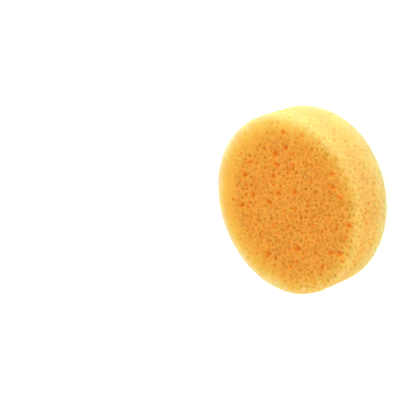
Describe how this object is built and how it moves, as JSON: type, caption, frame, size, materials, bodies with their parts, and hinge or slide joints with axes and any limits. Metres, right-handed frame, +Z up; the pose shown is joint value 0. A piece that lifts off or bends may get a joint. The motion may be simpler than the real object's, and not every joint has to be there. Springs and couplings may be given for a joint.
{
  "type": "tack sponge",
  "caption": "Round, flat foam sponge: a thick disc with soft edges and open pores on both faces and the wall, for cleaning leather.",
  "frame": {"origin": "middle of the flat underside, where the disc's axis meets it", "axes": "+Z up along the disc's axis, through its thickness; X and Y lie in the underside"},
  "size_m": [0.0898, 0.088, 0.0254],
  "materials": {
    "foam": "matte"
  },
  "bodies": {
    "root": {"sponge": "foam"}
  },
  "joints": []
}
